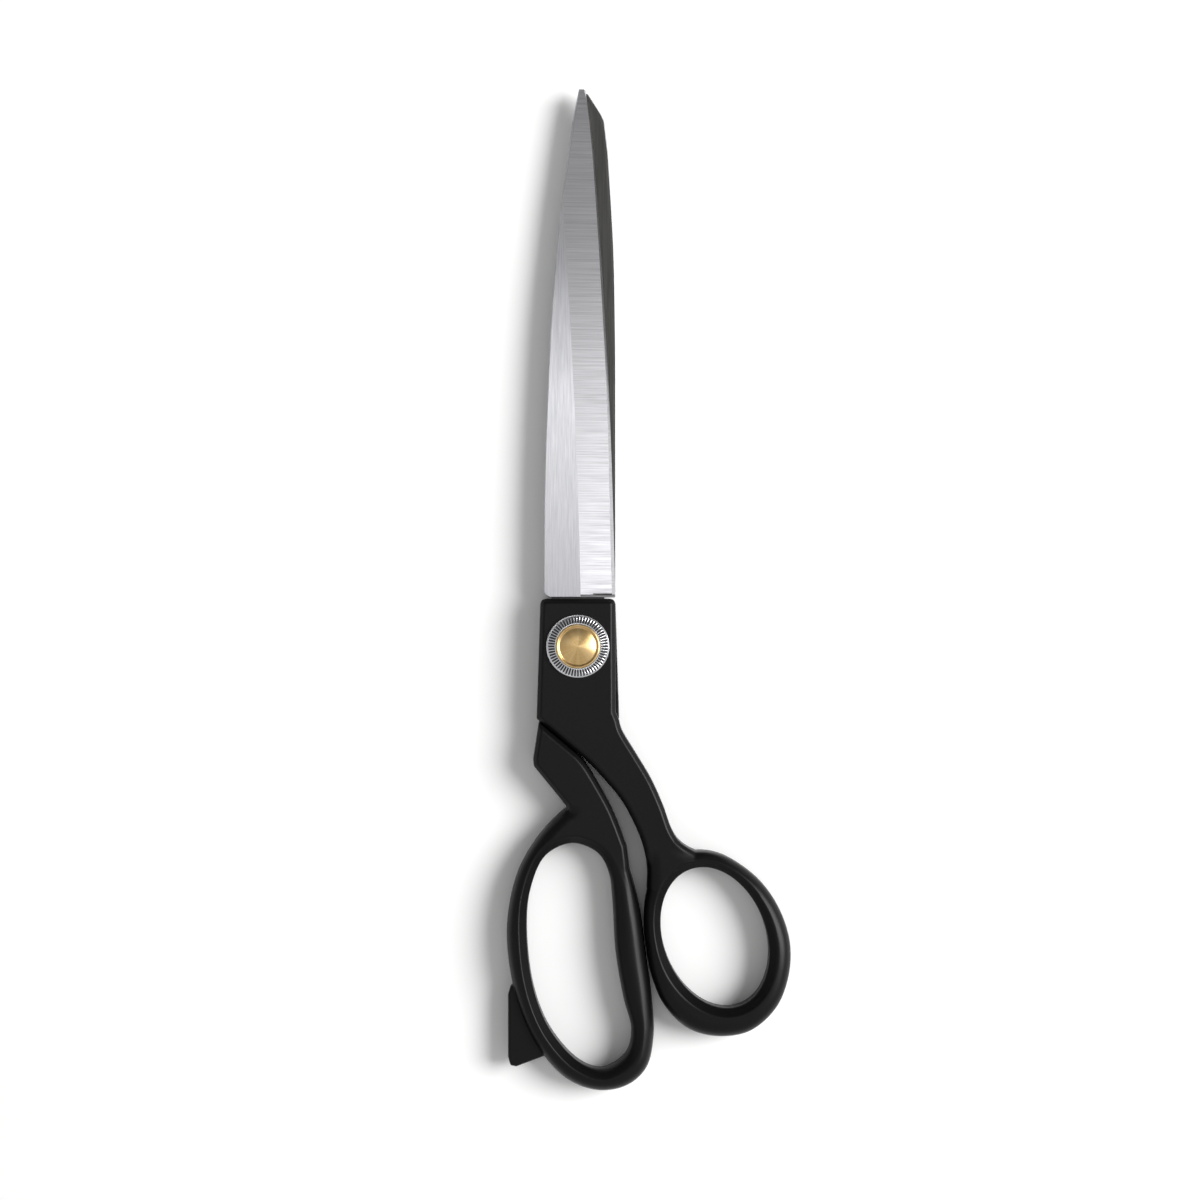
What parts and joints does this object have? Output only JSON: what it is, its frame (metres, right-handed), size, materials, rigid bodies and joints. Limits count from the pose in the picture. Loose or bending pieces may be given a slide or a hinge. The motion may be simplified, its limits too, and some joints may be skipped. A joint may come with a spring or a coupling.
{
  "type": "fabric shears",
  "caption": "Large fabric shears: two bevelled steel blades in black cast handles with a thumb ring and a long finger bow, on an adjustable brass pivot.",
  "frame": {"origin": "where the pivot axis meets the surface that the closed shears lie flat on, at the centre of the tension screw's face", "axes": "+Z along the pivot axis, out of the surface and towards the front half; +Y to the blade tips; +X to the thumb ring"},
  "size_m": [0.0864, 0.3047, 0.0141],
  "materials": {
    "handle_black": "satin black coating on a smooth casting, softly glossy on the edges",
    "blade_steel": "flat brushed along its length, bevel ground across with fine parallel lines",
    "pivot_brass": "bright spun brass with a low dome inside a raised rim",
    "washer_steel": "bright plated steel",
    "spring_steel": "plain spring steel",
    "bush_bronze": "plain turned bronze"
  },
  "bodies": {
    "finger_half": {"finger_handle": "handle_black", "rear_blade": "blade_steel", "pivot_bush": "bush_bronze", "spring_washer": "spring_steel"},
    "thumb_half": {"thumb_handle": "handle_black", "front_blade": "blade_steel", "pivot_post": "pivot_brass", "serrated_washer": "washer_steel", "thrust_washer": "bush_bronze"},
    "tension_screw": {"tension_screw": "washer_steel"}
  },
  "joints": [
    {"name": "blade_pivot", "type": "hinge", "parent": "finger_half", "child": "thumb_half", "pos_m": [0, 0, 0.006], "axis": [0, 0, 1], "range_deg": [0, 110]},
    {"name": "tension_adjust", "type": "hinge", "parent": "thumb_half", "child": "tension_screw", "pos_m": [0, 0, 0], "axis": [0, 0, 1], "range_deg": [-30, 30]}
  ]
}
